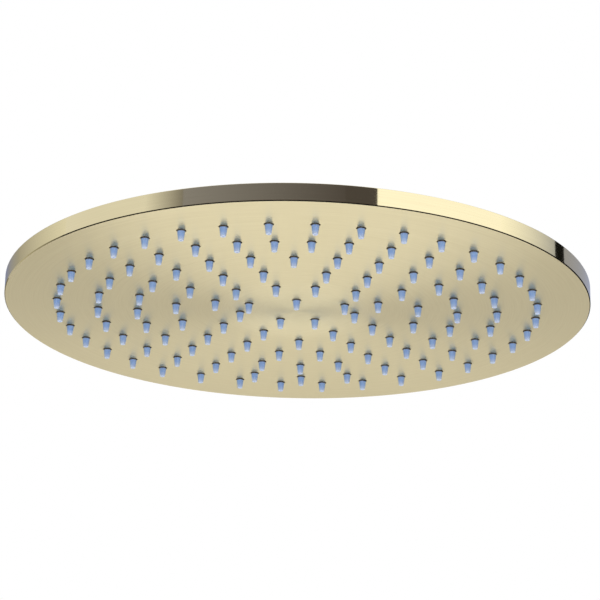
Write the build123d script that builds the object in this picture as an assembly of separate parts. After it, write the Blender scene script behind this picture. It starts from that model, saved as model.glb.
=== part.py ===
from build123d import *
import os
from math import atan2, cos, degrees, hypot, radians, sin, sqrt, tan

# Rain shower head: a slim round pan with a field of soft nozzles, hung from a ball swivel.
# Millimetres. The origin is the middle of the inlet's mouth, and +Z points up into the pipe.
# -Y is the front edge, and the nozzle field mirrors about X = 0.

# Head shell
head_d = 300.0
head_h = 9.0
sheet_t = 1.0
corner_bevel = 0.6
back_inset = 0.3
weld_gap = 0.05

# Soft mat with its nozzles
mat_t = 1.5
mat_margin = 6.0
nozzle_base_d = 4.4
nozzle_tip_d = 2.6
nozzle_out = 5.0
nozzle_gap = 0.25
nozzle_sides = 6

# Nozzle field: straight double columns on four arms, joined by curved rows
first_row = 16.0
field_margin = 29.0
front_arm = 15.5
front_outer = 21.0
back_arm = 26.5
back_inner = 2.0
back_outer = 25.0
front_bow = -2.0
back_bow = 10.0
lone_turn = 10.0
front_fill = (0, 0, 0, 1, 2, 2)
side_fill = (0, 1, 3, 6, 8, 11)
back_fill = (0, 1, 2, 3, 3, 4)

# Posts that hold the mat down and the back plate up
post_af = 7.0
post_count = 6
post_ring_d = 150.0

# Inlet, for a G1/2 pipe end
thread_minor_d = 18.631
thread_len = 12.0
collar_d = 26.0
hex_af = 27.0
hex_h = 8.0
hex_bevel = 1.0
washer_d = 18.4
washer_bore_d = 12.0
washer_t = 2.4
screen_t = 0.4
screen_pitch = 2.4
screen_hole = 1.6
pocket_play = 0.4
stem_floor_t = 3.0

# Ball swivel
ball_d = 16.0
neck_d = 10.0
bore_d = 7.0
tilt = 10.0
fit = 0.1
swing_gap = 0.6
slip_t = 1.2
slip_polar = 62.0
slip_half_band = 9.0
seat_polar = 125.0
seat_w = 2.6
seat_h = 3.0
ball_cut_margin = 4.0

# Socket on the back plate, and its nut
socket_floor_t = 2.0
socket_wall = 2.7
spigot_d = 15.0
water_d = 9.0
flange_d = 40.0
flange_t = 2.0
nut_wall = 2.9
nut_lip_t = 1.3
nut_lip_w = 3.0
nut_shoulder = 3.0
nut_lift = 0.6


def cone_r(sphere_r, polar, height):
    """Radius, at a height over the ball's middle, of the cone that touches a sphere at a polar angle."""
    slope = radians(polar)
    return sphere_r * sin(slope) + (sphere_r * cos(slope) - height) / tan(slope)


def cone_height(sphere_r, polar, radius):
    """Height over the ball's middle at which that cone has a radius."""
    slope = radians(polar)
    return sphere_r * cos(slope) - (radius - sphere_r * sin(slope)) * tan(slope)


# Swivel, with heights over the ball's middle
head_r = head_d / 2
ball_r = ball_d / 2
slip_in_r = ball_r + fit
slip_out_r = slip_in_r + slip_t
slip_reach = slip_out_r / cos(radians(slip_half_band))
slip_top = slip_reach * cos(radians(slip_polar - slip_half_band))
slip_low = slip_reach * cos(radians(slip_polar + slip_half_band))
nut_cone_r = slip_reach + fit
nut_cavity_r = nut_cone_r + 2 * fit
nut_top = slip_top + nut_lip_t
nut_mouth_r = cone_r(nut_cone_r, slip_polar, nut_top)
nut_top_r = nut_mouth_r + nut_lip_w
neck_len = nut_top * cos(radians(tilt)) + nut_top_r * sin(radians(tilt)) + swing_gap
seat_in_r = (ball_r + fit) * sin(radians(seat_polar))
seat_top = (ball_r + fit) * cos(radians(seat_polar))
seat_low = seat_top - seat_h
seat_r = seat_in_r + seat_w
ball_low = ball_r * cos(radians(seat_polar + tilt + ball_cut_margin))
cup_r = max(seat_r, ball_r) + fit
socket_r = cup_r + socket_wall
nut_bore_r = socket_r + fit
nut_af = 2 * (nut_bore_r + nut_wall)

# Whole head, with heights from the inlet's mouth
screen_shelf = -thread_len - washer_t - screen_t - pocket_play
stem_low = screen_shelf - stem_floor_t
ball_z = stem_low - neck_len
back_top = ball_z + seat_low - fit - socket_floor_t
back_low = back_top - sheet_t
rim_top = back_top + back_inset
face_low = rim_top - head_h
face_top = face_low + sheet_t
mat_top = face_top + mat_t
row_count = len(side_fill)
row_pitch = (head_r - field_margin - first_row) / (row_count - 1)


def turned(*corners):
    """Solid turned about the axis from a closed outline of (radius, height) corners."""
    outline = Polyline(*[(r, 0, z) for r, z in corners], close=True)
    return revolve(make_face(outline), Axis.Z)


def arm_column(arm_angle, offset, side, end):
    """Nozzles in a straight column along an arm: side is -1 or 1 in X, end is -1 at the front."""
    along = sin(radians(arm_angle)), cos(radians(arm_angle))
    across = along[1], -along[0]
    reaches = [first_row + row_pitch * row for row in range(row_count)]
    return [
        (side * (along[0] * reach + across[0] * offset), end * (along[1] * reach + across[1] * offset))
        for reach in reaches
    ]


def curved_row(start, stop, count, bow=0.0, turn=0.0):
    """Nozzles evenly spread from one to another, counter-clockwise, with the row bowed outwards."""
    start_angle = degrees(atan2(start[1], start[0]))
    sweep = (degrees(atan2(stop[1], stop[0])) - start_angle) % 360
    row = []
    for step in range(1, count + 1):
        share = step / (count + 1)
        angle = radians(start_angle + sweep * share + turn)
        reach = hypot(*start) * (1 - share) + hypot(*stop) * share + bow * 4 * share * (1 - share)
        row.append((reach * cos(angle), reach * sin(angle)))
    return row


def nozzle_places():
    """Plan positions of all the nozzles."""
    front = {side: arm_column(front_arm, 0.0, side, -1) for side in (-1, 1)}
    front_side = {side: arm_column(front_arm, front_outer, side, -1) for side in (-1, 1)}
    back_side = {side: arm_column(back_arm, back_outer, side, 1) for side in (-1, 1)}
    back = {side: arm_column(back_arm, back_inner, side, 1) for side in (-1, 1)}
    places = [(0.0, -first_row)]
    for side in (-1, 1):
        places += front[side][1:] + front_side[side] + back_side[side] + back[side]
    for row in range(row_count):
        bowed = row < row_count - 1
        turn = lone_turn if side_fill[row] == 1 else 0.0
        places += curved_row(front[-1][row], front[1][row], front_fill[row], front_bow * bowed)
        places += curved_row(back[1][row], back[-1][row], back_fill[row], back_bow * bowed)
        places += curved_row(front_side[1][row], back_side[1][row], side_fill[row], turn=-turn)
        places += curved_row(back_side[-1][row], front_side[-1][row], side_fill[row], turn=turn)
    return places


def nozzle_ring(across_flats, height):
    """Corners of a nozzle's outline at a height."""
    corner_to_axis = across_flats / 2 / cos(radians(180 / nozzle_sides))
    angles = [radians(360 * (side + 0.5) / nozzle_sides) for side in range(nozzle_sides)]
    return [(corner_to_axis * cos(angle), corner_to_axis * sin(angle), height) for angle in angles]


def nozzle_body():
    """Tapered nozzle with flat sides, from its root down to its tip."""
    root = nozzle_ring(nozzle_base_d, face_top)
    tip = nozzle_ring(nozzle_tip_d, face_low - nozzle_out)
    outlines = [root, tip]
    for side in range(nozzle_sides):
        after = (side + 1) % nozzle_sides
        outlines.append([root[side], root[after], tip[after], tip[side]])
    return Solid(Shell([make_face(Polyline(*outline, close=True)).face() for outline in outlines]))


def face_pan():
    """Drawn pan: the pierced face and the rim in one sheet."""
    inner_r = head_r - sheet_t
    pan = turned(
        (0, face_low),
        (head_r - corner_bevel, face_low),
        (head_r, face_low + corner_bevel),
        (head_r, rim_top),
        (inner_r, rim_top),
        (inner_r, face_top),
        (0, face_top),
    )
    hole = make_face(Polyline(*nozzle_ring(nozzle_base_d + 2 * nozzle_gap, face_low), close=True))
    holes = Sketch() + [Pos(x, y) * hole for x, y in nozzle_places()]
    return pan - extrude(holes, sheet_t, dir=(0, 0, 1))


def nozzle_mat():
    """Soft sheet on the inside of the face, with a tapered nozzle through each hole."""
    sheet = extrude(Pos(0, 0, face_top) * Circle(head_r - sheet_t - mat_margin), mat_t)
    nozzle = nozzle_body()
    return sheet + [Pos(x, y) * nozzle for x, y in nozzle_places()]


def back_plate():
    """Flat disc welded into the top of the rim, with a hole for the socket's spigot."""
    disc = Circle(head_r - sheet_t - weld_gap) - Circle(spigot_d / 2 + weld_gap)
    return extrude(Pos(0, 0, back_low) * disc, sheet_t)


def spacer_posts():
    """Hexagonal posts between the mat and the back plate."""
    post = extrude(RegularPolygon(post_af / 2, 6, major_radius=False), back_low - mat_top)
    spots = PolarLocations(post_ring_d / 2, post_count)
    return Compound(children=[Pos(0, 0, mat_top) * spot * post for spot in spots])


def swivel_socket():
    """Turned socket on the back plate: spigot, flange, threaded wall and the cup for the ball."""
    floor = ball_z + seat_low - fit
    return turned(
        (water_d / 2, back_low),
        (spigot_d / 2, back_low),
        (spigot_d / 2, back_top),
        (flange_d / 2, back_top),
        (flange_d / 2, back_top + flange_t),
        (socket_r, back_top + flange_t),
        (socket_r, ball_z),
        (cup_r, ball_z),
        (cup_r, floor),
        (water_d / 2, floor),
    )


def ball_seat():
    """Rubber ring whose upper inside edge bears on the ball from below."""
    return turned(
        (seat_in_r, ball_z + seat_low),
        (seat_r, ball_z + seat_low),
        (seat_r, ball_z + seat_top),
        (seat_in_r, ball_z + seat_top),
    )


def slip_ring():
    """Thin conical ring between the ball and the nut."""
    return turned(
        (cone_r(slip_in_r, slip_polar, slip_low), ball_z + slip_low),
        (cone_r(slip_out_r, slip_polar, slip_low), ball_z + slip_low),
        (cone_r(slip_out_r, slip_polar, slip_top), ball_z + slip_top),
        (cone_r(slip_in_r, slip_polar, slip_top), ball_z + slip_top),
    )


def hexagon(across_flats, low, high):
    """Hexagonal bar between two heights, with its corners turned off at both ends."""
    corner_to_axis = across_flats / sqrt(3)
    end_r = corner_to_axis - hex_bevel
    blank = turned(
        (0, low),
        (end_r, low),
        (corner_to_axis, low + hex_bevel),
        (corner_to_axis, high - hex_bevel),
        (end_r, high),
        (0, high),
    )
    outline = RegularPolygon(across_flats / 2, 6, major_radius=False)
    return blank & extrude(Pos(0, 0, low) * outline, high - low)


def swivel_nut():
    """Hexagonal nut screwed over the socket, with a lip that keeps the ball in."""
    low = back_top + flange_t + nut_lift
    shoulder = ball_z + nut_shoulder
    lip = turned((0, low), (nut_top_r, low), (nut_top_r, ball_z + nut_top), (0, ball_z + nut_top))
    cavity = turned(
        (0, low),
        (nut_bore_r, low),
        (nut_bore_r, ball_z),
        (nut_cavity_r, ball_z),
        (nut_cavity_r, ball_z + cone_height(nut_cone_r, slip_polar, nut_cavity_r)),
        (nut_mouth_r, ball_z + nut_top),
        (0, ball_z + nut_top),
    )
    return hexagon(nut_af, low, shoulder) + lip - cavity


def ball_stem():
    """Threaded inlet, spanner hexagon, neck and ball in one turned piece, bored through."""
    hex_top = stem_low + hex_h
    collar = turned((0, hex_top), (collar_d / 2, hex_top), (collar_d / 2, 0), (0, 0))
    neck = turned((0, ball_z), (neck_d / 2, ball_z), (neck_d / 2, stem_low), (0, stem_low))
    ball = Pos(0, 0, ball_z) * Sphere(ball_r)
    ball -= extrude(Pos(0, 0, ball_z + ball_low) * Circle(ball_d), -ball_d)
    pocket_r = washer_d / 2 + pocket_play
    bores = turned(
        (0, ball_z - ball_r),
        (bore_d / 2, ball_z - ball_r),
        (bore_d / 2, screen_shelf),
        (pocket_r, screen_shelf),
        (pocket_r, -thread_len),
        (thread_minor_d / 2, -thread_len),
        (thread_minor_d / 2, 0),
        (0, 0),
    )
    return collar + hexagon(hex_af, stem_low, hex_top) + neck + ball - bores


def inlet_washer():
    """Flat washer that the pipe end presses on, over the screen."""
    ring = Circle(washer_d / 2) - Circle(washer_bore_d / 2)
    return extrude(Pos(0, 0, screen_shelf + screen_t) * ring, washer_t)


def filter_screen():
    """Thin disc with a grid of square holes inside the washer's bore."""
    reach = washer_bore_d / 2 - screen_hole
    span = int(reach // screen_pitch)
    steps = [screen_pitch * step for step in range(-span, span + 1)]
    spots = [(x, y) for x in steps for y in steps if hypot(x, y) < reach]
    holes = Sketch() + [Pos(x, y) * Rectangle(screen_hole, screen_hole) for x, y in spots]
    return extrude(Pos(0, 0, screen_shelf) * (Circle(washer_d / 2) - holes), screen_t)


pieces = {
    "face_pan": face_pan,
    "nozzle_mat": nozzle_mat,
    "back_plate": back_plate,
    "spacer_posts": spacer_posts,
    "swivel_socket": swivel_socket,
    "ball_seat": ball_seat,
    "slip_ring": slip_ring,
    "swivel_nut": swivel_nut,
    "ball_stem": ball_stem,
    "inlet_washer": inlet_washer,
    "filter_screen": filter_screen,
}

os.makedirs("parts", exist_ok=True)
for name, make in pieces.items():
    export_step(make(), f"parts/{name}.step")
print("nozzles", len(nozzle_places()), "ball centre", round(ball_z, 3), "face", round(face_low, 3))
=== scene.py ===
"""Finish and stage of a slim round rain shower head, seen from below."""

import math

import bmesh
import bpy
from bpy.props import FloatProperty, FloatVectorProperty, IntProperty, PointerProperty
from mathutils import Matrix, Quaternion, Vector


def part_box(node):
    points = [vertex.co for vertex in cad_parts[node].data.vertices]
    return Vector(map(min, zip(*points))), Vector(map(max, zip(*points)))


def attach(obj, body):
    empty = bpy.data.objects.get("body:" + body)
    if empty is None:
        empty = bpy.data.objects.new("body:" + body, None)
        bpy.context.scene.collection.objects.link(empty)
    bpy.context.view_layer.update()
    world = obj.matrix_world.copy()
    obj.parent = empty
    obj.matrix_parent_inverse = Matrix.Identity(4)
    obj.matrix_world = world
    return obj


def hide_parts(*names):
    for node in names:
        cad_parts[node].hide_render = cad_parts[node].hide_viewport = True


bl_info = {
    "name": "Rain shower head",
    "version": (1, 0, 0),
    "blender": (4, 5, 0),
    "location": "3D View > Sidebar > Shower",
    "description": "Models the brushed pan, soft nozzles and swivel on their frame, and sets the stage",
    "category": "Object",
}

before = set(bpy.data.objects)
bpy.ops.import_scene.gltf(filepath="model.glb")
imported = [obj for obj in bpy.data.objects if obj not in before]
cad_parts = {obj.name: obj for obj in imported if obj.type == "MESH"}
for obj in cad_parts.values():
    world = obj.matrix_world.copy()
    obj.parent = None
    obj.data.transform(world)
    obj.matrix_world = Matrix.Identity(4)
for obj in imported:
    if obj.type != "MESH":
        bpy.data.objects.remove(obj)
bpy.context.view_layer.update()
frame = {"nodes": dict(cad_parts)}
PAN_LOW, PAN_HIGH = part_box("face_pan")
MAT_LOW, MAT_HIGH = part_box("nozzle_mat")
WASHER_LOW, WASHER_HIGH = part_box("inlet_washer")
HEAD_R = PAN_HIGH.x
FACE_Z = PAN_LOW.z
RIM_Z = PAN_HIGH.z
PICTURE_PX = 600
SENSOR_MM = 36.0
MERGE = 1e-6
TIP_BAND = 1e-5
UPRIGHT_Z = 0.1
LEVEL_Z = 0.99
NOISE_RANGE = (0.3, 0.7)
STREAK_SHARE = 0.75
BRUSH_CHANGE = 0.12
GRAIN_CHANGE = 0.15
BRUSH_LINES = 1500.0
BACK_LINES = 1200.0
SWIVEL_LINES = 3000.0
SMOOTH_DEGREES = 35
SWIVEL_SMOOTH_DEGREES = 28
SHARP_EDGE = math.radians(40)
BORE_MARGIN = 0.0005
THREAD_FLAT = 0.07
THREAD_MOUTH = 0.42
CARD_FACET = 6
FOOT_FACET = 4
DARK = (0.01, 0.01, 0.012)


def length(name, description, default):
    """Property for a size in metres."""
    return FloatProperty(name=name, description=description, default=default, unit="LENGTH", precision=5)


def angle(name, description, degrees):
    """Property for an angle."""
    return FloatProperty(name=name, description=description, default=math.radians(degrees), subtype="ANGLE")


def colour(name, description, default):
    """Property for a colour."""
    return FloatVectorProperty(name=name, description=description, default=default, size=3, subtype="COLOR")


def level(name, description, default):
    """Property for a share or a strength."""
    return FloatProperty(name=name, description=description, default=default, min=0.0)


def count(name, description, default):
    """Property for a number of facets."""
    return IntProperty(name=name, description=description, default=default, min=3)


class ShowerShape(bpy.types.PropertyGroup):
    """Fine sizes of the pan, the nozzles and the swivel."""

    sheet: length("Sheet", "Thickness of the pan's sheet", 0.001)
    corner: length("Corner", "Bevel where the rim turns into the face", 0.00045)
    top_edge: length("Top edge", "Radius on the rim's top edge", 0.0003)
    hole: length("Hole", "Diameter of a nozzle hole", 0.00475)
    hole_round: length("Hole rounding", "Rounding on a hole's outer edge", 0.00015)
    nozzle_root: length("Nozzle root", "Diameter of a nozzle inside the pan", 0.0042)
    nozzle_tip: length("Nozzle tip", "Diameter of a nozzle at its tip", 0.0027)
    tip_round: length("Tip rounding", "Rounding on a nozzle's tip", 0.00025)
    outlet: length("Outlet", "Diameter of the water hole in a nozzle", 0.001)
    outlet_depth: length("Outlet depth", "Depth of the water hole", 0.002)
    edge_break: length("Edge break", "Bevel on the swivel's sharp edges", 0.00025)
    thread_pitch: length("Thread pitch", "Pitch of the inlet's pipe thread", 0.001814)
    thread_depth: length("Thread depth", "Depth of the inlet's pipe thread", 0.00108)
    thread_run: length("Thread run", "Length of the inlet's pipe thread", 0.01)
    rim_steps: count("Rim steps", "Facets round the pan", 256)
    hole_steps: count("Hole steps", "Facets round a nozzle hole", 28)
    nozzle_steps: count("Nozzle steps", "Facets round a nozzle", 20)
    mat_steps: count("Mat steps", "Facets round the nozzle mat", 96)
    thread_steps: count("Thread steps", "Facets in one turn of the thread", 52)


class ShowerFinish(bpy.types.PropertyGroup):
    """Colours and gloss of the finishes."""

    gold: colour("Gold", "Brushed champagne gold", (0.70, 0.625, 0.40))
    gold_dark: colour("Gold in the brush lines", "The gold's deeper lines", (0.665, 0.59, 0.375))
    # Gold in the middle is painted light: a paler gold that brightens the reflection in the face's middle.
    gold_painted_bright_middle: colour("Gold in the middle", "Paler gold where the brush rings close", (0.775, 0.72, 0.52))
    face_rough: level("Face roughness", "Roughness of the turned face", 0.32)
    middle_rough: level("Middle roughness", "Roughness added where the brush rings close", 0.3)
    face_draw: level("Face draw", "How far the brush lines draw out the face's gloss", 0.8)
    rim_rough: level("Rim roughness", "Roughness of the rim", 0.06)
    rim_draw: level("Rim draw", "How far the brush lines draw out the rim's gloss", 0.9)
    swivel_rough: level("Swivel roughness", "Roughness of the swivel", 0.2)
    swivel_draw: level("Swivel draw", "How far the brush lines draw out the swivel's gloss", 0.6)
    # Silicone shade is painted shade: dark brown on each nozzle where it leaves the face, standing in for
    # the shadow in the hole.
    silicone_painted_shade: colour("Silicone shade", "Soft nozzle where it leaves the face", (0.075, 0.055, 0.035))
    silicone_root: colour("Silicone body", "Soft nozzle below the face", (0.30, 0.46, 0.82))
    # The pale tip colour is painted light: the nozzles are painted paler towards their tips, where light
    # falls on them.
    silicone_painted_light_tip: colour("Silicone tip", "Soft nozzle at its pale tip", (0.56, 0.645, 0.86))
    rubber: colour("Rubber", "Black seals", (0.022, 0.022, 0.024))
    plastic: colour("Plastic", "Ivory low-friction ring", (0.72, 0.69, 0.60))
    steel: colour("Steel", "Plain stainless pieces", (0.55, 0.54, 0.52))


class ShowerStage(bpy.types.PropertyGroup):
    """Camera, floor and light."""

    distance: length("Distance", "From the camera to the middle of the face", 1.239)
    elevation: angle("Elevation", "How far below the face's plane the camera looks from", 19.548)
    turn: angle("Turn", "How far the camera stands round the head", 1.54)
    roll: angle("Roll", "Roll of the camera", 1.22)
    lens: FloatProperty(name="Lens", description="Focal length on a 36 mm sensor, in mm", default=144.37)
    middle_x: FloatProperty(name="Middle X", description="Pixel column of the face's middle", default=297.2)
    middle_y: FloatProperty(name="Middle Y", description="Pixel row of the face's middle", default=310.9)
    floor_drop: length("Floor drop", "Height of the inlet over the floor", 2.1)
    floor_side: length("Floor side", "Side of the floor", 60.0)
    floor: colour("Floor", "Plain pale floor", (0.718, 0.694, 0.64))
    sky: level("Sky", "Light from all round", 0.85)
    front: level("Front", "Power of the soft light under the camera, in watts", 6.6)
    front_reach: length("Front reach", "Distance of the front light from the head", 1.3)
    front_dip: angle("Front dip", "How far below the face's plane the front light stands", 40.0)
    front_size: length("Front size", "Side of the front light", 0.7)
    fill: level("Fill", "Power of the soft light behind and below, in watts", 0.66)
    fill_reach: length("Fill reach", "Distance of the fill light from the head", 0.6)
    fill_dip: angle("Fill dip", "How far below the face's plane the fill light stands", 50.0)
    fill_size: length("Fill size", "Side of the fill light", 0.46)
    card_reach: length("Card reach", "Distance of the reflecting cards from the head", 1.8)
    foot_tilt: angle("Foot tilt", "Least tilt of the bevel's face that still mirrors the dark strip", 40.0)
    foot_reach: length("Foot reach", "Distance of the dark strip from the rim's foot", 1.6)


def only(piece):
    """Make one object the selected and active one."""
    bpy.ops.object.select_all(action="DESELECT")
    piece.select_set(True)
    bpy.context.view_layer.objects.active = piece


def arc(middle, radius, start, stop, steps):
    """Points (radius, height) on an arc, with angles in degrees from straight out."""
    angles = [math.radians(start + (stop - start) * step / steps) for step in range(steps + 1)]
    return [(middle[0] + radius * math.cos(a), middle[1] + radius * math.sin(a)) for a in angles]


def drawn(name, *lines):
    """New mesh with a chain of edges through each line of points, left selected in edit mode."""
    bpy.ops.object.select_all(action="DESELECT")
    bpy.ops.mesh.primitive_plane_add(size=0.001)
    piece = bpy.context.object
    piece.name = piece.data.name = name
    bpy.ops.object.mode_set(mode="EDIT")
    bpy.ops.mesh.select_mode(type="VERT")
    bpy.ops.mesh.select_all(action="SELECT")
    bpy.ops.mesh.delete(type="VERT")
    for points in lines:
        bpy.ops.mesh.select_all(action="DESELECT")
        bpy.ops.mesh.primitive_plane_add(size=0.001)
        bpy.ops.mesh.merge(type="CENTER")
        bpy.ops.transform.translate(value=points[0])
        for start, stop in zip(points, points[1:]):
            bpy.ops.mesh.extrude_vertices_move(TRANSFORM_OT_translate={"value": stop - start})
    bpy.ops.mesh.select_all(action="SELECT")
    return piece


def merge_doubles():
    """Merge the edited mesh's doubles, then point its faces outwards."""
    bpy.ops.mesh.select_all(action="SELECT")
    bpy.ops.mesh.remove_doubles(threshold=MERGE)
    bpy.ops.mesh.normals_make_consistent(inside=False)


def swept(name, points, steps, sweep):
    """New mesh spun round Z from a line through the points."""
    piece = drawn(name, points)
    bpy.ops.mesh.spin(steps=steps, angle=sweep, center=(0, 0, 0), axis=(0, 0, 1))
    merge_doubles()
    bpy.ops.object.mode_set(mode="OBJECT")
    return piece


def turned(name, outline, steps):
    """New piece turned round Z from an outline of (radius, height) points."""
    return swept(name, [Vector((r, 0, z)) for r, z in outline], steps, math.tau)


def scattered(model, places, name):
    """One piece made of a copy of the model, each with its own mesh, at every place."""
    bpy.ops.object.select_all(action="DESELECT")
    for place in places:
        mesh = model.data.copy()
        mesh.transform(Matrix.Translation(place))
        copy = bpy.data.objects.new(name, mesh)
        bpy.context.collection.objects.link(copy)
        copy.select_set(True)
    bpy.context.view_layer.objects.active = copy
    bpy.ops.object.join()
    bpy.data.objects.remove(model)
    piece = bpy.context.object
    piece.name = piece.data.name = name
    return piece


def nozzle_places():
    """Plan positions of the nozzles, from the tips of the frame's nozzle mat."""
    tip_z, tip_reach = MAT_LOW.z + TIP_BAND, bpy.context.scene.shower_shape.nozzle_root
    corners = [v.co for v in frame["nodes"]["nozzle_mat"].data.vertices if v.co.z < tip_z]
    groups = []
    for corner in corners:
        near = next((g for g in groups if (g[0] - corner).length < tip_reach), None)
        if near is None:
            groups.append([corner])
        elif all((other - corner).length > MERGE for other in near):
            near.append(corner)
    return [Vector((sum(c.x for c in g) / len(g), sum(c.y for c in g) / len(g), 0)) for g in groups]


def select_edges(piece, test):
    """Select, in edit mode, the edges that pass a test."""
    mesh = bmesh.from_edit_mesh(piece.data)
    for part in (*mesh.verts, *mesh.edges, *mesh.faces):
        part.select = False
    for edge in mesh.edges:
        edge.select_set(test(edge))
    bmesh.update_edit_mesh(piece.data)


def cut_away(piece, cutter):
    """Cut one mesh out of a piece, and remove the cutter."""
    cut = piece.modifiers.new("Cut", "BOOLEAN")
    cut.operation = "DIFFERENCE"
    cut.solver = "EXACT"
    cut.object = cutter
    only(piece)
    bpy.ops.object.modifier_apply(modifier=cut.name)
    bpy.data.objects.remove(cutter)


def smooth_between_edges(piece, degrees):
    """Smooth shading between sharp edges, led by the large faces, so that flats stay even."""
    only(piece)
    bpy.ops.object.shade_smooth_by_angle(angle=math.radians(degrees))
    normals = piece.modifiers.new("Normals", "WEIGHTED_NORMAL")
    normals.keep_sharp = True
    normals.weight = 100
    bpy.ops.object.modifier_apply(modifier=normals.name)


def finish_piece(piece, body, node):
    """Set a finished piece on its body, in place of the node that it stands for."""
    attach(piece, body)
    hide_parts(node)


def paint(piece, material):
    """Give a piece one material."""
    piece.data.materials.clear()
    piece.data.materials.append(material)


def new_material(name):
    """New node material: its nodes, its links and its shader."""
    material = bpy.data.materials.new(name)
    material.use_nodes = True
    nodes = material.node_tree.nodes
    return material, nodes, material.node_tree.links, nodes["Principled BSDF"]


def math_node(nodes, links, operation, first, second=None):
    """Math node on one or two inputs, each a socket or a number."""
    node = nodes.new("ShaderNodeMath")
    node.operation = operation
    for socket, value in zip(node.inputs, (first, second)):
        if isinstance(value, bpy.types.NodeSocket):
            links.new(value, socket)
        elif value is not None:
            socket.default_value = value
    return node.outputs[0]


def noise_node(nodes, links, vector, scale, detail):
    """Noise on a vector."""
    node = nodes.new("ShaderNodeTexNoise")
    node.inputs["Scale"].default_value = scale
    node.inputs["Detail"].default_value = detail
    links.new(vector, node.inputs["Vector"])
    return node.outputs["Fac"]


def spread(nodes, links, value, low, high, to_low, to_high):
    """Value from one range into another."""
    node = nodes.new("ShaderNodeMapRange")
    links.new(value, node.inputs["Value"])
    limits = (low, high, to_low, to_high)
    for socket, limit in zip(("From Min", "From Max", "To Min", "To Max"), limits):
        node.inputs[socket].default_value = limit
    return node.outputs["Result"]


def mixed(nodes, links, share, first, second):
    """Colour between two colours, each a socket or a colour."""
    node = nodes.new("ShaderNodeMix")
    node.data_type = "RGBA"
    links.new(share, node.inputs["Factor"])
    for socket, tone in ((node.inputs["A"], first), (node.inputs["B"], second)):
        if isinstance(tone, bpy.types.NodeSocket):
            links.new(tone, socket)
        else:
            socket.default_value = (*tone, 1)
    return node.outputs["Result"]


def bump(nodes, links, shader, height, strength, depth):
    """Bump on a shader's normal."""
    node = nodes.new("ShaderNodeBump")
    node.inputs["Strength"].default_value = strength
    node.inputs["Distance"].default_value = depth
    links.new(height, node.inputs["Height"])
    links.new(node.outputs["Normal"], shader.inputs["Normal"])


def ring_brush_group():
    """Shared group: brush lines in rings round Z, a soft mottle, and a mask of the middle."""
    group = bpy.data.node_groups.get("ring_brush")
    if group:
        return group
    streak_changes, mottle_scale = 4.0, 22.0
    least_reach, middle_start, middle_end = 1e-5, 0.004, 0.045
    group = bpy.data.node_groups.new("ring_brush", "ShaderNodeTree")
    lines_in = group.interface.new_socket("Lines", in_out="INPUT", socket_type="NodeSocketFloat")
    lines_in.default_value = BRUSH_LINES
    for name in ("Streak", "Mottle", "Middle"):
        group.interface.new_socket(name, in_out="OUTPUT", socket_type="NodeSocketFloat")
    nodes, links = group.nodes, group.links
    source = nodes.new("NodeGroupInput")
    result = nodes.new("NodeGroupOutput")
    place = nodes.new("ShaderNodeTexCoord").outputs["Object"]
    split = nodes.new("ShaderNodeSeparateXYZ")
    links.new(place, split.inputs[0])
    x, y, z = split.outputs
    squares = math_node(nodes, links, "ADD", math_node(nodes, links, "MULTIPLY", x, x),
                        math_node(nodes, links, "MULTIPLY", y, y))
    reach = math_node(nodes, links, "MAXIMUM", math_node(nodes, links, "SQRT", squares), least_reach)
    section = math_node(nodes, links, "ADD", reach, z)
    joined = nodes.new("ShaderNodeCombineXYZ")
    links.new(math_node(nodes, links, "MULTIPLY", section, source.outputs["Lines"]), joined.inputs[0])
    for side, socket in ((x, joined.inputs[1]), (y, joined.inputs[2])):
        way = math_node(nodes, links, "DIVIDE", side, reach)
        links.new(math_node(nodes, links, "MULTIPLY", way, streak_changes), socket)
    links.new(noise_node(nodes, links, joined.outputs[0], scale=1.0, detail=3.0), result.inputs["Streak"])
    links.new(noise_node(nodes, links, place, mottle_scale, detail=2.0), result.inputs["Mottle"])
    links.new(spread(nodes, links, reach, middle_start, middle_end, 1.0, 0.0), result.inputs["Middle"])
    return group


def turned_gold(name, roughness, draw, lines, closes=False):
    """Champagne gold with brush lines in rings, which may close to a soft, rougher middle painted paler to
    brighten its reflection.
    """
    material, nodes, links, shader = new_material(name)
    finish = bpy.context.scene.shower_finish
    brush = nodes.new("ShaderNodeGroup")
    brush.node_tree = ring_brush_group()
    brush.inputs["Lines"].default_value = lines
    streak, mottle = brush.outputs["Streak"], brush.outputs["Mottle"]
    tone = math_node(nodes, links, "ADD", math_node(nodes, links, "MULTIPLY", streak, STREAK_SHARE),
                     math_node(nodes, links, "MULTIPLY", mottle, 1 - STREAK_SHARE))
    share = spread(nodes, links, tone, *NOISE_RANGE, 0.0, 1.0)
    gold = mixed(nodes, links, share, finish.gold_dark, finish.gold)
    rougher, smoother = roughness * (1 + BRUSH_CHANGE), roughness * (1 - BRUSH_CHANGE)
    rough = spread(nodes, links, streak, *NOISE_RANGE, rougher, smoother)
    if closes:
        middle = brush.outputs["Middle"]
        # Painted light: the middle of the face is painted a paler gold to brighten its reflection.
        gold = mixed(nodes, links, middle, gold, finish.gold_painted_bright_middle)
        added = math_node(nodes, links, "MULTIPLY", middle, finish.middle_rough)
        rough = math_node(nodes, links, "ADD", rough, added)
    links.new(gold, shader.inputs["Base Color"])
    links.new(rough, shader.inputs["Roughness"])
    shader.inputs["Metallic"].default_value = 1.0
    shader.inputs["Anisotropic"].default_value = draw
    quarter_turn = 0.25
    shader.inputs["Anisotropic Rotation"].default_value = quarter_turn
    tangent = nodes.new("ShaderNodeTangent")
    tangent.direction_type = "RADIAL"
    tangent.axis = "Z"
    links.new(tangent.outputs["Tangent"], shader.inputs["Tangent"])
    bump(nodes, links, shader, streak, strength=0.06, depth=0.00004)
    return material


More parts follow.
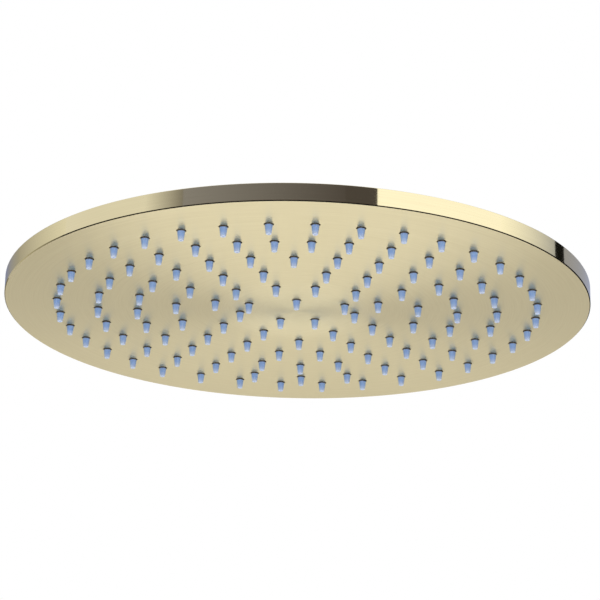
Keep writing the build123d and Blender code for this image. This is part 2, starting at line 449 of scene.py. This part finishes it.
def soft_silicone():
    """Pale blue silicone, with painted shade where it leaves the face and painted light making it paler
    towards the tips.
    """
    painted_shade_end, body_start, body_end = 0.05, 0.14, 0.55
    material, nodes, links, shader = new_material("nozzle_silicone")
    finish = bpy.context.scene.shower_finish
    place = nodes.new("ShaderNodeTexCoord").outputs["Object"]
    split = nodes.new("ShaderNodeSeparateXYZ")
    links.new(place, split.inputs[0])
    tone = nodes.new("ShaderNodeValToRGB")
    links.new(spread(nodes, links, split.outputs["Z"], FACE_Z, MAT_LOW.z, 0.0, 1.0), tone.inputs["Fac"])
    # Painted shade: the ramp starts dark brown at the nozzle's root, where the hole shades it.
    tone.color_ramp.elements[0].color = (*finish.silicone_painted_shade, 1)
    tone.color_ramp.elements[0].position = painted_shade_end
    # Painted light: the ramp ends in a paler colour at the tips, where they catch the light.
    tone.color_ramp.elements[1].color = (*finish.silicone_painted_light_tip, 1)
    for position in (body_start, body_end):
        tone.color_ramp.elements.new(position).color = (*finish.silicone_root, 1)
    links.new(tone.outputs["Color"], shader.inputs["Base Color"])
    cloud = noise_node(nodes, links, place, scale=900.0, detail=2.0)
    links.new(spread(nodes, links, cloud, *NOISE_RANGE, 0.34, 0.46), shader.inputs["Roughness"])
    shader.inputs["Subsurface Weight"].default_value = 0.35
    shader.inputs["Subsurface Scale"].default_value = 0.0012
    shader.inputs["Subsurface Radius"].default_value = (0.6, 0.8, 1.0)
    shader.inputs["IOR"].default_value = 1.41
    bump(nodes, links, shader, cloud, strength=0.08, depth=0.00004)
    return material


def grained(name, dark, pale, metallic, roughness, scale):
    """Plain finish with a fine grain in its colour, gloss and surface."""
    material, nodes, links, shader = new_material(name)
    place = nodes.new("ShaderNodeTexCoord").outputs["Object"]
    grain = noise_node(nodes, links, place, scale, detail=4.0)
    links.new(mixed(nodes, links, grain, dark, pale), shader.inputs["Base Color"])
    smoother, rougher = roughness * (1 - GRAIN_CHANGE), roughness * (1 + GRAIN_CHANGE)
    rough = spread(nodes, links, grain, *NOISE_RANGE, smoother, rougher)
    links.new(rough, shader.inputs["Roughness"])
    shader.inputs["Metallic"].default_value = metallic
    bump(nodes, links, shader, grain, strength=0.15, depth=0.00005)
    return material


def shade(rgb, share):
    """Colour times a share."""
    return tuple(c * share for c in rgb)


class SHOWER_OT_face_pan(bpy.types.Operator):
    """Turn the pan with its bevelled foot, and pierce the nozzle holes"""

    bl_idname = "shower.face_pan"
    bl_label = "Brushed face pan"

    def outline(self, shape):
        """Section of the pan, from the middle of the face round the rim and back."""
        inner_r = HEAD_R - shape.sheet
        top = arc((HEAD_R - shape.top_edge, RIM_Z - shape.top_edge), shape.top_edge, 0, 90, 4)
        return [
            (0, FACE_Z),
            (HEAD_R - shape.corner, FACE_Z),
            (HEAD_R, FACE_Z + shape.corner),
            *top,
            (inner_r, RIM_Z),
            (inner_r, FACE_Z + shape.sheet),
            (0, FACE_Z + shape.sheet),
        ]

    def pierce(self, pan, shape):
        """Cut the holes and round their outer edges."""
        bpy.ops.object.select_all(action="DESELECT")
        bpy.ops.mesh.primitive_cylinder_add(
            vertices=shape.hole_steps,
            radius=shape.hole / 2,
            depth=4 * shape.sheet,
            location=(0, 0, FACE_Z + shape.sheet / 2),
        )
        model = bpy.context.object
        bpy.ops.object.transform_apply(location=True, rotation=False, scale=False)
        cutter = scattered(model, nozzle_places(), "hole_cutter")
        cut_away(pan, cutter)
        bpy.ops.object.mode_set(mode="EDIT")
        bpy.ops.mesh.select_mode(type="EDGE")
        field_r = HEAD_R - 10 * shape.sheet

        def hole_edge(edge):
            ends = [v.co for v in edge.verts]
            level_edge = all(abs(p.z - FACE_Z) < MERGE and p.xy.length < field_r for p in ends)
            return level_edge and any(abs(f.normal.z) < UPRIGHT_Z for f in edge.link_faces)

        select_edges(pan, hole_edge)
        bpy.ops.mesh.bevel(offset=shape.hole_round, segments=3, affect="EDGES")
        bpy.ops.object.mode_set(mode="OBJECT")

    def execute(self, context):
        shape = context.scene.shower_shape
        finish = context.scene.shower_finish
        pan = turned("brushed_pan", self.outline(shape), shape.rim_steps)
        only(pan)
        bpy.ops.object.mode_set(mode="EDIT")
        bpy.ops.mesh.select_all(action="SELECT")
        bpy.ops.mesh.dissolve_limited(angle_limit=math.radians(0.1))
        bpy.ops.object.mode_set(mode="OBJECT")
        self.pierce(pan, shape)
        smooth_between_edges(pan, SMOOTH_DEGREES)
        face_gold = turned_gold("face_gold", finish.face_rough, finish.face_draw, BRUSH_LINES, closes=True)
        rim_gold = turned_gold("rim_gold", finish.rim_rough, finish.rim_draw, BRUSH_LINES)
        pan.data.materials.append(face_gold)
        pan.data.materials.append(rim_gold)
        for side in pan.data.polygons:
            on_rim = side.center.xy.length > HEAD_R - shape.sheet and abs(side.normal.z) < LEVEL_Z
            side.material_index = 1 if on_rim else 0
        finish_piece(pan, "head", "face_pan")
        return {"FINISHED"}


class SHOWER_OT_nozzle_mat(bpy.types.Operator):
    """Turn one soft nozzle with its water hole, and set one in every hole of the face"""

    bl_idname = "shower.nozzle_mat"
    bl_label = "Soft nozzles"

    def execute(self, context):
        shape = context.scene.shower_shape
        root_r, tip_r, outlet_r = shape.nozzle_root / 2, shape.nozzle_tip / 2, shape.outlet / 2
        root_z = FACE_Z + shape.sheet
        tip_z = MAT_LOW.z
        tip_edge = arc((tip_r - shape.tip_round, tip_z + shape.tip_round), shape.tip_round, 0, -90, 3)
        nozzle = turned("nozzle", [
            (0, root_z + shape.sheet / 2),
            (root_r, root_z + shape.sheet / 2),
            (root_r, root_z),
            *tip_edge,
            (outlet_r + shape.tip_round / 2, tip_z),
            (outlet_r, tip_z + shape.tip_round / 2),
            (outlet_r, tip_z + shape.outlet_depth),
            (0, tip_z + shape.outlet_depth),
        ], shape.nozzle_steps)
        nozzles = scattered(nozzle, nozzle_places(), "soft_nozzles")
        sheet = turned("mat_sheet", [
            (0, root_z),
            (MAT_HIGH.x - shape.tip_round, root_z),
            (MAT_HIGH.x, root_z + shape.tip_round),
            (MAT_HIGH.x, MAT_HIGH.z),
            (0, MAT_HIGH.z),
        ], shape.mat_steps)
        nozzles.select_set(True)
        context.view_layer.objects.active = nozzles
        bpy.ops.object.join()
        only(nozzles)
        bpy.ops.object.shade_smooth_by_angle(angle=math.radians(SMOOTH_DEGREES))
        paint(nozzles, soft_silicone())
        finish_piece(nozzles, "head", "nozzle_mat")
        return {"FINISHED"}


class SHOWER_OT_swivel(bpy.types.Operator):
    """Break the edges of the stem, the nut and the socket, cut the thread, and finish them in gold"""

    bl_idname = "shower.swivel"
    bl_label = "Ball swivel"

    def outer_edge(self, edge):
        """True for a sharp edge that is not deep in the inlet's bore."""
        bore_r = WASHER_HIGH.x + BORE_MARGIN
        low, high = WASHER_LOW.z - 2 * BORE_MARGIN, WASHER_HIGH.z / 2
        deep = all(v.co.xy.length < bore_r and low < v.co.z < high for v in edge.verts)
        return edge.is_manifold and not deep and edge.calc_face_angle() > SHARP_EDGE

    def cut_thread(self, stem, shape):
        """Cut the right-handed pipe thread into the inlet's bore, from its mouth down."""
        bore_r = min(v.co.xy.length for v in stem.data.vertices if v.co.z > -shape.edge_break / 2)
        pitch = shape.thread_pitch
        half_flat, half_mouth = pitch * THREAD_FLAT, pitch * THREAD_MOUTH
        inner_r, outer_r = bore_r - pitch / 8, bore_r + shape.thread_depth
        top = pitch / 2
        outline = [
            (inner_r, top - half_mouth),
            (outer_r, top - half_flat),
            (outer_r, top + half_flat),
            (inner_r, top + half_mouth),
        ]
        points = [Vector((r, 0, z)) for r, z in (*outline, outline[0])]
        cutter = drawn("thread_cutter", points)
        bpy.ops.mesh.remove_doubles(threshold=MERGE)
        bpy.ops.object.mode_set(mode="OBJECT")
        turns = round((shape.thread_run + top) / pitch)
        helix = cutter.modifiers.new("Helix", "SCREW")
        helix.angle = -math.tau
        helix.screw_offset = -pitch
        helix.iterations = turns
        helix.steps = helix.render_steps = shape.thread_steps
        bpy.ops.object.modifier_apply(modifier=helix.name)
        bpy.ops.object.mode_set(mode="EDIT")
        bpy.ops.mesh.select_all(action="SELECT")
        bpy.ops.mesh.remove_doubles(threshold=MERGE)
        bpy.ops.mesh.fill_holes(sides=4)
        bpy.ops.mesh.normals_make_consistent(inside=False)
        bpy.ops.object.mode_set(mode="OBJECT")
        cut_away(stem, cutter)
        sliver = shape.thread_depth / 100
        bpy.ops.object.mode_set(mode="EDIT")
        bpy.ops.mesh.select_all(action="SELECT")
        bpy.ops.mesh.remove_doubles(threshold=sliver)
        bpy.ops.mesh.dissolve_degenerate(threshold=sliver)
        bpy.ops.object.mode_set(mode="OBJECT")

    def execute(self, context):
        shape = context.scene.shower_shape
        finish = context.scene.shower_finish
        gold = turned_gold("swivel_gold", finish.swivel_rough, finish.swivel_draw, SWIVEL_LINES)
        for node, body in (("ball_stem", "stem"), ("swivel_nut", "head"), ("swivel_socket", "head")):
            piece = bpy.data.objects.new(f"{node}_finish", frame["nodes"][node].data.copy())
            context.collection.objects.link(piece)
            only(piece)
            bpy.ops.object.mode_set(mode="EDIT")
            bpy.ops.mesh.select_all(action="SELECT")
            bpy.ops.mesh.remove_doubles(threshold=MERGE)
            bpy.ops.mesh.dissolve_limited(angle_limit=math.radians(0.5))
            bpy.ops.mesh.select_mode(type="EDGE")
            select_edges(piece, self.outer_edge)
            bpy.ops.mesh.bevel(offset=shape.edge_break, segments=2, affect="EDGES", clamp_overlap=True)
            bpy.ops.object.mode_set(mode="OBJECT")
            if node == "ball_stem":
                self.cut_thread(piece, shape)
            smooth_between_edges(piece, SWIVEL_SMOOTH_DEGREES)
            paint(piece, gold)
            finish_piece(piece, body, node)
        return {"FINISHED"}


class SHOWER_OT_plain_pieces(bpy.types.Operator):
    """Finish the back plate, the seals, the slip ring, the posts and the screen"""

    bl_idname = "shower.plain_pieces"
    bl_label = "Back plate and inner pieces"

    def execute(self, context):
        finish = context.scene.shower_finish
        nodes = frame["nodes"]
        dark_rubber, pale_rubber = shade(finish.rubber, 0.7), shade(finish.rubber, 1.4)
        dark_plastic, dark_steel = shade(finish.plastic, 0.92), shade(finish.steel, 0.85)
        rubber = grained("black_rubber", dark_rubber, pale_rubber, metallic=0.0, roughness=0.6, scale=1500.0)
        plastic = grained(
            "ivory_plastic", dark_plastic, finish.plastic, metallic=0.0, roughness=0.4, scale=900.0
        )
        steel = grained("grained_steel", dark_steel, finish.steel, metallic=1.0, roughness=0.3, scale=700.0)
        back_gold = turned_gold("back_gold", finish.face_rough, finish.face_draw, BACK_LINES)
        paint(nodes["back_plate"], back_gold)
        for name, material in (
            ("ball_seat", rubber),
            ("inlet_washer", rubber),
            ("slip_ring", plastic),
            ("spacer_posts", steel),
            ("filter_screen", steel),
        ):
            paint(nodes[name], material)
        return {"FINISHED"}


class SHOWER_OT_stage(bpy.types.Operator):
    """Set the floor, the white surround, the cards that the metal mirrors, the lights and the camera"""

    bl_idname = "shower.stage"
    bl_label = "Stage"

    def floor(self, stage):
        """Plain pale floor, far below the head."""
        bpy.ops.object.select_all(action="DESELECT")
        bpy.ops.mesh.primitive_plane_add(size=stage.floor_side, location=(0, 0, -stage.floor_drop))
        floor = bpy.context.object
        floor.name = "floor"
        material, _, _, shader = new_material("pale_floor")
        shader.inputs["Base Color"].default_value = (*stage.floor, 1)
        shader.inputs["Roughness"].default_value = 0.9
        paint(floor, material)

    def surround(self, stage):
        """White background for the eye and for mirrors, and plain light for the rest."""
        world = bpy.data.worlds.new("studio")
        bpy.context.scene.world = world
        world.use_nodes = True
        nodes, links = world.node_tree.nodes, world.node_tree.links
        ray = nodes.new("ShaderNodeLightPath")
        seen = ray.outputs["Is Camera Ray"]
        for kind in ("Is Glossy Ray", "Is Transmission Ray"):
            seen = math_node(nodes, links, "MAXIMUM", seen, ray.outputs[kind])
        strength = spread(nodes, links, seen, 0.0, 1.0, stage.sky, 1.0)
        background = nodes["Background"]
        background.inputs["Color"].default_value = (1, 1, 1, 1)
        links.new(strength, background.inputs["Strength"])

    def set_card(self, card, material):
        """Make a card one that only the metal mirrors."""
        paint(card, material)
        card.visible_camera = False
        card.visible_diffuse = False
        card.visible_shadow = False

    def graded(self, name, start, stop, first, last):
        """Glow graded between two colours, over azimuths from the camera's side towards the right."""
        material = bpy.data.materials.new(name)
        material.use_nodes = True
        nodes, links = material.node_tree.nodes, material.node_tree.links
        emission = nodes.new("ShaderNodeEmission")
        links.new(emission.outputs[0], nodes["Material Output"].inputs["Surface"])
        split = nodes.new("ShaderNodeSeparateXYZ")
        links.new(nodes.new("ShaderNodeTexCoord").outputs["Object"], split.inputs[0])
        front = math_node(nodes, links, "MULTIPLY", split.outputs["Y"], -1.0)
        azimuth = math_node(nodes, links, "ARCTAN2", split.outputs["X"], front)
        share = spread(nodes, links, azimuth, start, stop, 0.0, 1.0)
        links.new(mixed(nodes, links, share, first, last), emission.inputs["Color"])
        return material

    def card(self, name, stage, azimuths, elevations, first, last):
        """Card on a cylinder round the head, its glow graded between two colours."""
        low, high = (stage.card_reach * math.tan(math.radians(e)) + FACE_Z for e in elevations)
        start, stop = (math.radians(a) for a in azimuths)
        side = Vector((stage.card_reach * math.sin(start), -stage.card_reach * math.cos(start), 0))
        ends = [side + Vector((0, 0, low)), side + Vector((0, 0, high))]
        steps = max(2, int((azimuths[1] - azimuths[0]) / CARD_FACET))
        card = swept(name, ends, steps, start - stop)
        self.set_card(card, self.graded(name, start, stop, first, last))

    def foot_card(self, name, stage, corner, turns, first, last):
        """Strip along the line that the bevel at the rim's foot mirrors, over turns in degrees."""
        eye = self.eye(stage)
        start, stop = (math.radians(turn) for turn in turns)
        steps = math.ceil((turns[1] - turns[0]) / FOOT_FACET)
        rows = []
        for tilt in (stage.foot_tilt, math.pi / 2 - stage.foot_tilt):
            row = []
            for step in range(steps + 1):
                turn = start + (stop - start) * step / steps
                out = Vector((math.sin(turn), -math.cos(turn), 0))
                spot = out * (HEAD_R - corner / 2) + Vector((0, 0, FACE_Z + corner / 2))
                normal = out * math.cos(tilt) - Vector((0, 0, math.sin(tilt)))
                row.append(spot + (spot - eye).normalized().reflect(normal) * stage.foot_reach)
            rows.append(row)
        strip = drawn(name, *rows)
        bpy.ops.mesh.bridge_edge_loops()
        bpy.ops.object.mode_set(mode="OBJECT")
        start, stop = (math.atan2(end.x, -end.y) for end in (rows[0][0], rows[0][-1]))
        self.set_card(strip, self.graded(name, start, stop, first, last))

    def soft_light(self, name, away, size, power):
        """Square soft light at a place seen from the face's middle, turned to the head."""
        bpy.ops.object.select_all(action="DESELECT")
        aim = (-away).to_track_quat("-Z", "Y").to_euler()
        bpy.ops.object.light_add(type="AREA", location=Vector((0, 0, FACE_Z)) + away, rotation=aim)
        light = bpy.context.object
        light.name = name
        light.data.size = size
        light.data.energy = power
        light.visible_camera = False
        return light

    def eye(self, stage):
        """Place of the camera."""
        back = Vector((0, -math.cos(stage.elevation), -math.sin(stage.elevation)))
        return Vector((0, 0, FACE_Z)) + Quaternion((0, 0, 1), stage.turn) @ back * stage.distance

    def camera(self, stage):
        """Camera below the face, framed as the picture is."""
        bpy.ops.object.select_all(action="DESELECT")
        eye = self.eye(stage)
        aim = (Vector((0, 0, FACE_Z)) - eye).to_track_quat("-Z", "Y")
        bpy.ops.object.camera_add(location=eye)
        camera = bpy.context.object
        camera.rotation_mode = "QUATERNION"
        camera.rotation_quaternion = aim @ Quaternion((0, 0, 1), stage.roll)
        camera.data.sensor_width = SENSOR_MM
        camera.data.lens = stage.lens
        camera.data.shift_x = (PICTURE_PX / 2 - stage.middle_x) / PICTURE_PX
        camera.data.shift_y = (stage.middle_y - PICTURE_PX / 2) / PICTURE_PX
        bpy.context.scene.camera = camera

    def execute(self, context):
        stage = context.scene.shower_stage
        self.floor(stage)
        self.surround(stage)
        upright, behind_head = (-4, 55), (6, 40)
        for name, azimuths, elevations, first, last in (
            ("softbox", (29.8, 82), upright, (1.5, 1.5, 1.5), (1.45, 1.45, 1.45)),
            ("softbox_end", (82, 115), upright, (1.45, 1.45, 1.42), (0.56, 0.585, 0.68)),
            ("bar", (115, 122.5), upright, (0.01, 0.01, 0.01), (0.01, 0.01, 0.01)),
            ("dark_end", (-57, -41.5), upright, (1.0, 1.0, 1.0), (0.285, 0.275, 0.28)),
            ("dark", (-41.5, 18), upright, (0.33, 0.33, 0.40), (0.11, 0.10, 0.115)),
            ("dark_foot", (18, 29.8), upright, (0.10, 0.09, 0.10), (0.095, 0.085, 0.095)),
            ("back_right", (122.5, 180), behind_head, (0.42, 0.435, 0.55), (0.38, 0.43, 0.61)),
            ("back_left", (-180, -160), behind_head, (0.38, 0.43, 0.61), (0.22, 0.245, 0.38)),
            ("left", (-160, -134), behind_head, (0.22, 0.245, 0.38), (0.46, 0.44, 0.38)),
            ("left_end", (-134, -96), behind_head, (0.48, 0.455, 0.39), (1.0, 0.995, 0.94)),
        ):
            self.card(name, stage, azimuths, elevations, first, last)
        corner = context.scene.shower_shape.corner
        for name, turns, first, last in (
            ("foot_left", (-104, -73), DARK, (0.30, 0.28, 0.22)),
            ("foot_fade", (-64, -47), (0.60, 0.57, 0.48), (0.03, 0.03, 0.03)),
            ("foot", (-47, 104), DARK, DARK),
        ):
            self.foot_card(name, stage, corner, turns, first, last)
        behind = Vector((0, math.cos(stage.fill_dip), -math.sin(stage.fill_dip))) * stage.fill_reach
        before = Vector((0, -math.cos(stage.front_dip), -math.sin(stage.front_dip))) * stage.front_reach
        self.soft_light("fill", behind, stage.fill_size, stage.fill)
        self.soft_light("front", before, stage.front_size, stage.front).visible_glossy = False
        self.camera(stage)
        context.scene.view_settings.view_transform = "Standard"
        return {"FINISHED"}


class SHOWER_PT_panel(bpy.types.Panel):
    """Sizes, finishes and steps of the shower head"""

    bl_label = "Rain shower head"
    bl_idname = "SHOWER_PT_panel"
    bl_space_type = "VIEW_3D"
    bl_region_type = "UI"
    bl_category = "Shower"

    def draw(self, context):
        for group in (context.scene.shower_shape, context.scene.shower_finish, context.scene.shower_stage):
            box = self.layout.box()
            for name in group.__annotations__:
                box.prop(group, name)
        for step in STEPS:
            self.layout.operator(step.bl_idname)


GROUPS = {"shower_shape": ShowerShape, "shower_finish": ShowerFinish, "shower_stage": ShowerStage}
STEPS = (
    SHOWER_OT_face_pan,
    SHOWER_OT_nozzle_mat,
    SHOWER_OT_swivel,
    SHOWER_OT_plain_pieces,
    SHOWER_OT_stage,
)
CLASSES = (*GROUPS.values(), *STEPS, SHOWER_PT_panel)


def register():
    for cls in CLASSES:
        bpy.utils.register_class(cls)
    for name, group in GROUPS.items():
        setattr(bpy.types.Scene, name, PointerProperty(type=group))


def unregister():
    for name in GROUPS:
        delattr(bpy.types.Scene, name)
    for cls in reversed(CLASSES):
        bpy.utils.unregister_class(cls)


def main():
    register()
    bpy.ops.shower.face_pan()
    bpy.ops.shower.nozzle_mat()
    bpy.ops.shower.swivel()
    bpy.ops.shower.plain_pieces()
    bpy.ops.shower.stage()


if __name__ == "__main__":
    main()
